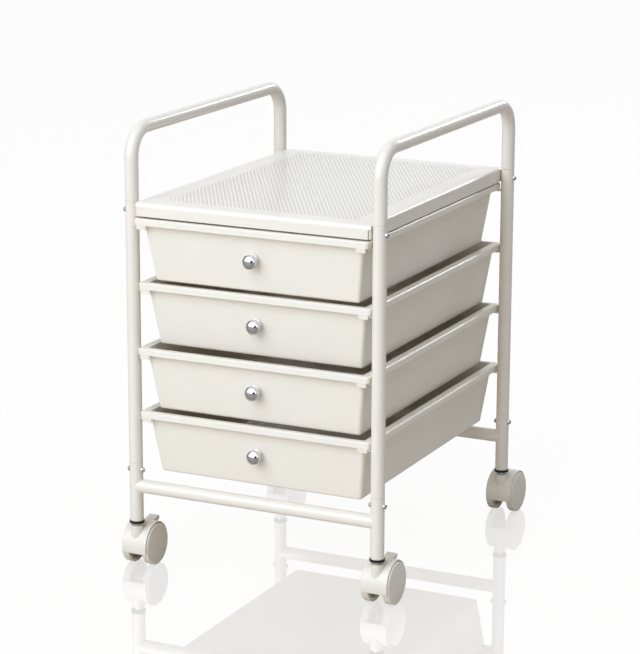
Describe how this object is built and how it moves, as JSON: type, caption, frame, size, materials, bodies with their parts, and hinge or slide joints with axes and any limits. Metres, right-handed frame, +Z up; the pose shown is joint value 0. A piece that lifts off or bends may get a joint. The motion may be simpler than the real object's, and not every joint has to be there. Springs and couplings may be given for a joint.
{
  "type": "rolling drawer cart",
  "caption": "Rolling cart with removable pull-out bins on rails in a bolted tube frame, a perforated top shelf, raised side handles and swivelling twin-wheel casters.",
  "frame": {"origin": "on the floor, under the middle of the bounding box at rest", "axes": "+Z up, -Y towards the drawers' fronts, +X towards the right-hand side seen from the front"},
  "size_m": [0.35, 0.4406, 0.5355],
  "materials": {
    "frame_paint": "satin powder coat",
    "rail_paint": "satin powder coat",
    "bin_plastic": "fine-grained moulded",
    "caster_plastic": "satin moulded",
    "wheel_plastic": "satin moulded",
    "chrome": "polished",
    "steel": "zinc plated",
    "black_plastic": "moulded"
  },
  "bodies": {
    "frame": {"handle_left": "frame_paint", "handle_right": "frame_paint", "post_front_left": "frame_paint", "post_front_right": "frame_paint", "post_rear_left": "frame_paint", "post_rear_right": "frame_paint", "leg_front_left": "frame_paint", "leg_front_right": "frame_paint", "leg_rear_left": "frame_paint", "leg_rear_right": "frame_paint", "base_bar_front": "frame_paint", "base_bar_rear": "frame_paint", "shelf": "frame_paint", "rail_1_left": "rail_paint", "rail_1_right": "rail_paint", "rail_2_left": "rail_paint", "rail_2_right": "rail_paint", "rail_3_left": "rail_paint", "rail_3_right": "rail_paint", "rail_4_left": "rail_paint", "rail_4_right": "rail_paint", "shelf_bolts": "chrome", "leg_bolts": "chrome", "leg_cap_nuts": "chrome", "shelf_nuts": "steel", "caster_inserts": "black_plastic", "caster_stems": "steel"},
    "drawer_1": {"drawer_1": "bin_plastic", "knob_1": "chrome", "knob_screw_1": "steel"},
    "drawer_2": {"drawer_2": "bin_plastic", "knob_2": "chrome", "knob_screw_2": "steel"},
    "drawer_3": {"drawer_3": "bin_plastic", "knob_3": "chrome", "knob_screw_3": "steel"},
    "drawer_4": {"drawer_4": "bin_plastic", "knob_4": "chrome", "knob_screw_4": "steel"},
    "caster_front_left": {"hood_front_left": "caster_plastic", "axle_front_left": "steel"},
    "wheel_front_left_outer": {"wheel_front_left_outer": "wheel_plastic"},
    "wheel_front_left_inner": {"wheel_front_left_inner": "wheel_plastic"},
    "lever_front_left": {"lever_front_left": "caster_plastic"},
    "caster_front_right": {"hood_front_right": "caster_plastic", "axle_front_right": "steel"},
    "wheel_front_right_outer": {"wheel_front_right_outer": "wheel_plastic"},
    "wheel_front_right_inner": {"wheel_front_right_inner": "wheel_plastic"},
    "lever_front_right": {"lever_front_right": "caster_plastic"},
    "caster_rear_left": {"hood_rear_left": "caster_plastic", "axle_rear_left": "steel"},
    "wheel_rear_left_outer": {"wheel_rear_left_outer": "wheel_plastic"},
    "wheel_rear_left_inner": {"wheel_rear_left_inner": "wheel_plastic"},
    "caster_rear_right": {"hood_rear_right": "caster_plastic", "axle_rear_right": "steel"},
    "wheel_rear_right_outer": {"wheel_rear_right_outer": "wheel_plastic"},
    "wheel_rear_right_inner": {"wheel_rear_right_inner": "wheel_plastic"}
  },
  "joints": [
    {"name": "drawer_1_slide", "type": "slide", "parent": "frame", "child": "drawer_1", "axis": [0, -1, 0], "range_m": [-0.0083, 0.2617]},
    {"name": "drawer_2_slide", "type": "slide", "parent": "frame", "child": "drawer_2", "axis": [0, -1, 0], "range_m": [0, 0.27]},
    {"name": "drawer_3_slide", "type": "slide", "parent": "frame", "child": "drawer_3", "axis": [0, -1, 0], "range_m": [-0.0038, 0.2662]},
    {"name": "drawer_4_slide", "type": "slide", "parent": "frame", "child": "drawer_4", "axis": [0, -1, 0], "range_m": [0, 0.27]},
    {"name": "caster_front_left_swivel", "type": "hinge", "parent": "frame", "child": "caster_front_left", "pos_m": [-0.157, -0.20387, 0.05], "axis": [0, 0, 1], "continuous": true},
    {"name": "wheel_front_left_outer_spin", "type": "hinge", "parent": "caster_front_left", "child": "wheel_front_left_outer", "pos_m": [-0.1705, -0.18637, 0.025], "axis": [1, 0, 0], "continuous": true},
    {"name": "wheel_front_left_inner_spin", "type": "hinge", "parent": "caster_front_left", "child": "wheel_front_left_inner", "pos_m": [-0.1435, -0.18637, 0.025], "axis": [1, 0, 0], "continuous": true},
    {"name": "lever_front_left_tilt", "type": "hinge", "parent": "caster_front_left", "child": "lever_front_left", "pos_m": [-0.157, -0.18187, 0.0415], "axis": [-1, 0, 0], "range_deg": [0, 15]},
    {"name": "caster_front_right_swivel", "type": "hinge", "parent": "frame", "child": "caster_front_right", "pos_m": [0.157, -0.20387, 0.05], "axis": [0, 0, 1], "continuous": true},
    {"name": "wheel_front_right_outer_spin", "type": "hinge", "parent": "caster_front_right", "child": "wheel_front_right_outer", "pos_m": [0.1705, -0.18637, 0.025], "axis": [1, 0, 0], "continuous": true},
    {"name": "wheel_front_right_inner_spin", "type": "hinge", "parent": "caster_front_right", "child": "wheel_front_right_inner", "pos_m": [0.1435, -0.18637, 0.025], "axis": [1, 0, 0], "continuous": true},
    {"name": "lever_front_right_tilt", "type": "hinge", "parent": "caster_front_right", "child": "lever_front_right", "pos_m": [0.157, -0.18187, 0.0415], "axis": [-1, 0, 0], "range_deg": [0, 15]},
    {"name": "caster_rear_left_swivel", "type": "hinge", "parent": "frame", "child": "caster_rear_left", "pos_m": [-0.157, 0.17713, 0.05], "axis": [0, 0, 1], "continuous": true},
    {"name": "wheel_rear_left_outer_spin", "type": "hinge", "parent": "caster_rear_left", "child": "wheel_rear_left_outer", "pos_m": [-0.1705, 0.19463, 0.025], "axis": [1, 0, 0], "continuous": true},
    {"name": "wheel_rear_left_inner_spin", "type": "hinge", "parent": "caster_rear_left", "child": "wheel_rear_left_inner", "pos_m": [-0.1435, 0.19463, 0.025], "axis": [1, 0, 0], "continuous": true},
    {"name": "caster_rear_right_swivel", "type": "hinge", "parent": "frame", "child": "caster_rear_right", "pos_m": [0.157, 0.17713, 0.05], "axis": [0, 0, 1], "continuous": true},
    {"name": "wheel_rear_right_outer_spin", "type": "hinge", "parent": "caster_rear_right", "child": "wheel_rear_right_outer", "pos_m": [0.1705, 0.19463, 0.025], "axis": [1, 0, 0], "continuous": true},
    {"name": "wheel_rear_right_inner_spin", "type": "hinge", "parent": "caster_rear_right", "child": "wheel_rear_right_inner", "pos_m": [0.1435, 0.19463, 0.025], "axis": [1, 0, 0], "continuous": true}
  ]
}
